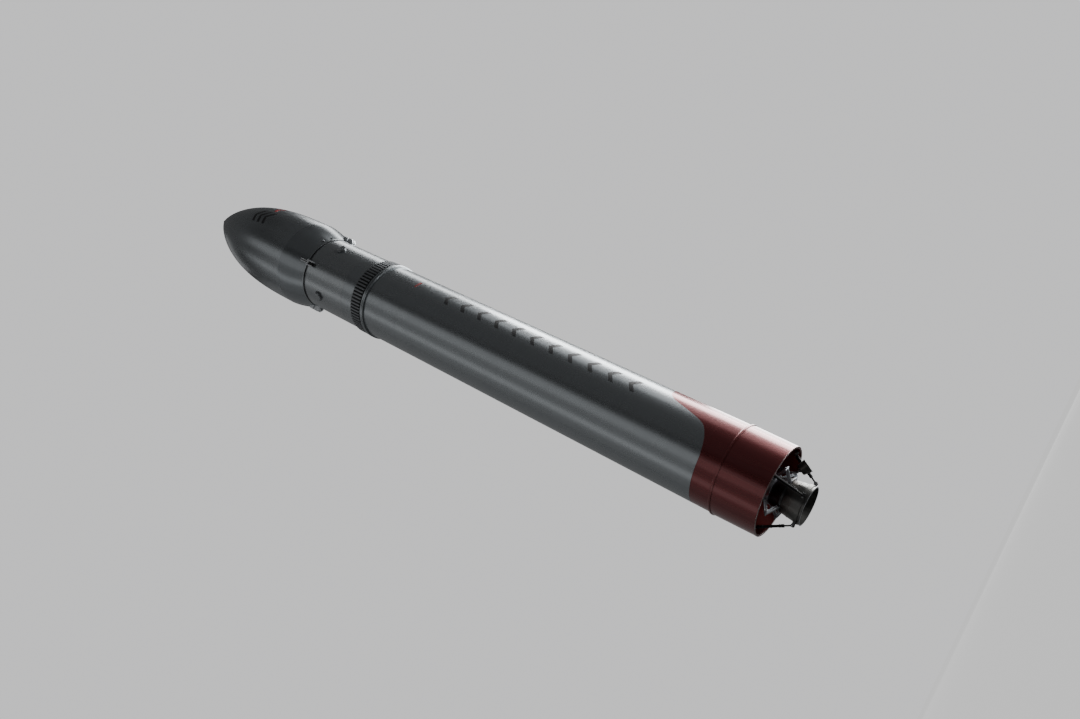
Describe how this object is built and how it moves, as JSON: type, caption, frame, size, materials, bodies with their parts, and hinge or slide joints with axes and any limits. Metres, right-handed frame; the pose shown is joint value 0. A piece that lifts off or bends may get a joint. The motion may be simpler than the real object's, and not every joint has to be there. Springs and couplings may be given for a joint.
{
  "type": "two-stage space rocket",
  "caption": "Slender two-stage space rocket with a red engine skirt, gimballed nozzle, ribbed ring between the stages and a wide hinged nose fairing.",
  "frame": {"origin": "centre of the skirt's aft rim, where the rocket stands on its launch table", "axes": "+Z to the nose, -Y to the front hinge of the fairing, +X to the right"},
  "size_m": [1.9556, 1.956, 15.7019],
  "materials": {
    "silver_paint": "satin silver-grey paint",
    "red_paint": "satin deep red paint",
    "ribbed_grey": "matt grey over a dark ground",
    "dark_metal": "dark heat-stained metal",
    "bright_steel": "polished steel",
    "plain_alloy": "plain machined alloy"
  },
  "bodies": {
    "first_stage": {"aft_skirt": "red_paint", "skirt_seam_band": "red_paint", "first_stage_tank": "silver_paint", "forward_skirt": "silver_paint", "forward_flange": "silver_paint", "ribbed_interstage": "ribbed_grey", "thrust_frame": "plain_alloy"},
    "gimbal": {"gimbal_block": "bright_steel"},
    "engine": {"engine_block": "plain_alloy", "nozzle_bell": "dark_metal", "nozzle_band": "dark_metal", "strut_frame": "bright_steel", "exhaust_duct": "dark_metal"},
    "second_stage": {"second_stage_skirt": "silver_paint", "second_stage_tank": "silver_paint", "second_stage_engine": "plain_alloy", "second_stage_nozzle": "dark_metal", "fairing_base_ring": "silver_paint", "payload_adapter": "plain_alloy", "thruster_pod_1": "silver_paint", "thruster_pod_2": "silver_paint", "thruster_pod_3": "silver_paint", "thruster_pod_4": "silver_paint", "front_hinge_base": "silver_paint", "back_hinge_base": "silver_paint", "right_latch_base": "silver_paint", "left_latch_base": "silver_paint"},
    "fairing_front_half": {"fairing_front": "silver_paint", "front_hinge_arm": "silver_paint"},
    "fairing_back_half": {"fairing_back": "silver_paint", "back_hinge_arm": "silver_paint"},
    "actuator_1_swivel": {"actuator_swivel_1": "plain_alloy"},
    "actuator_1_barrel": {"actuator_barrel_1": "dark_metal"},
    "actuator_1_rod": {"actuator_rod_1": "dark_metal"},
    "actuator_2_swivel": {"actuator_swivel_2": "plain_alloy"},
    "actuator_2_barrel": {"actuator_barrel_2": "dark_metal"},
    "actuator_2_rod": {"actuator_rod_2": "dark_metal"},
    "actuator_3_swivel": {"actuator_swivel_3": "plain_alloy"},
    "actuator_3_barrel": {"actuator_barrel_3": "dark_metal"},
    "actuator_3_rod": {"actuator_rod_3": "dark_metal"},
    "actuator_4_swivel": {"actuator_swivel_4": "plain_alloy"},
    "actuator_4_barrel": {"actuator_barrel_4": "dark_metal"},
    "actuator_4_rod": {"actuator_rod_4": "dark_metal"}
  },
  "joints": [
    {"name": "gimbal_pitch", "type": "hinge", "parent": "first_stage", "child": "gimbal", "pos_m": [0, 0, 0.96], "axis": [0.9563, 0.2924, 0], "range_deg": [-4.5, 4.5]},
    {"name": "gimbal_yaw", "type": "hinge", "parent": "gimbal", "child": "engine", "pos_m": [0, 0, 0.96], "axis": [-0.2924, 0.9563, 0], "range_deg": [-4.5, 4.5]},
    {"name": "actuator_1_swing", "type": "hinge", "parent": "first_stage", "child": "actuator_1_swivel", "pos_m": [0.20466, -0.66941, 0.06], "axis": [0.2924, -0.9563, 0], "range_deg": [-12.6, 12.6]},
    {"name": "actuator_1_tilt", "type": "hinge", "parent": "actuator_1_swivel", "child": "actuator_1_barrel", "pos_m": [0.20466, -0.66941, 0.06], "axis": [0.9563, 0.2924, 0], "range_deg": [-7.65, 7.65]},
    {"name": "actuator_1_stroke", "type": "slide", "parent": "actuator_1_barrel", "child": "actuator_1_rod", "axis": [-0.1523, 0.498, -0.8537], "range_m": [-0.0833, 0.0833]},
    {"name": "actuator_2_swing", "type": "hinge", "parent": "first_stage", "child": "actuator_2_swivel", "pos_m": [0.66941, 0.20466, 0.06], "axis": [0.9563, 0.2924, 0], "range_deg": [-12.6, 12.6]},
    {"name": "actuator_2_tilt", "type": "hinge", "parent": "actuator_2_swivel", "child": "actuator_2_barrel", "pos_m": [0.66941, 0.20466, 0.06], "axis": [-0.2924, 0.9563, 0], "range_deg": [-7.65, 7.65]},
    {"name": "actuator_2_stroke", "type": "slide", "parent": "actuator_2_barrel", "child": "actuator_2_rod", "axis": [-0.498, -0.1523, -0.8537], "range_m": [-0.0833, 0.0833]},
    {"name": "actuator_3_swing", "type": "hinge", "parent": "first_stage", "child": "actuator_3_swivel", "pos_m": [-0.20466, 0.66941, 0.06], "axis": [-0.2924, 0.9563, 0], "range_deg": [-12.6, 12.6]},
    {"name": "actuator_3_tilt", "type": "hinge", "parent": "actuator_3_swivel", "child": "actuator_3_barrel", "pos_m": [-0.20466, 0.66941, 0.06], "axis": [-0.9563, -0.2924, 0], "range_deg": [-7.65, 7.65]},
    {"name": "actuator_3_stroke", "type": "slide", "parent": "actuator_3_barrel", "child": "actuator_3_rod", "axis": [0.1523, -0.498, -0.8537], "range_m": [-0.0833, 0.0833]},
    {"name": "actuator_4_swing", "type": "hinge", "parent": "first_stage", "child": "actuator_4_swivel", "pos_m": [-0.66941, -0.20466, 0.06], "axis": [-0.9563, -0.2924, 0], "range_deg": [-12.6, 12.6]},
    {"name": "actuator_4_tilt", "type": "hinge", "parent": "actuator_4_swivel", "child": "actuator_4_barrel", "pos_m": [-0.66941, -0.20466, 0.06], "axis": [0.2924, -0.9563, 0], "range_deg": [-7.65, 7.65]},
    {"name": "actuator_4_stroke", "type": "slide", "parent": "actuator_4_barrel", "child": "actuator_4_rod", "axis": [0.498, 0.1523, -0.8537], "range_m": [-0.0833, 0.0833]},
    {"name": "stage_separation", "type": "slide", "parent": "first_stage", "child": "second_stage", "axis": [0, 0, 1], "range_m": [0, 1.2]},
    {"name": "fairing_front_open", "type": "hinge", "parent": "second_stage", "child": "fairing_front_half", "pos_m": [0, -0.856, 10.95], "axis": [1, 0, 0], "range_deg": [0, 75]},
    {"name": "fairing_back_open", "type": "hinge", "parent": "second_stage", "child": "fairing_back_half", "pos_m": [0, 0.856, 10.95], "axis": [-1, 0, 0], "range_deg": [0, 75]}
  ],
  "couplings": [
    {"joint": "actuator_1_swing", "follows": "gimbal_yaw", "ratio": -2.8},
    {"joint": "actuator_1_tilt", "follows": "gimbal_pitch", "ratio": 1.7},
    {"joint": "actuator_1_stroke", "follows": "gimbal_pitch", "m_per_rad": 1.06},
    {"joint": "actuator_2_swing", "follows": "gimbal_pitch", "ratio": 2.8},
    {"joint": "actuator_2_tilt", "follows": "gimbal_yaw", "ratio": 1.7},
    {"joint": "actuator_2_stroke", "follows": "gimbal_yaw", "m_per_rad": 1.06},
    {"joint": "actuator_3_swing", "follows": "gimbal_yaw", "ratio": 2.8},
    {"joint": "actuator_3_tilt", "follows": "gimbal_pitch", "ratio": -1.7},
    {"joint": "actuator_3_stroke", "follows": "gimbal_pitch", "m_per_rad": -1.06},
    {"joint": "actuator_4_swing", "follows": "gimbal_pitch", "ratio": -2.8},
    {"joint": "actuator_4_tilt", "follows": "gimbal_yaw", "ratio": -1.7},
    {"joint": "actuator_4_stroke", "follows": "gimbal_yaw", "m_per_rad": -1.06}
  ]
}
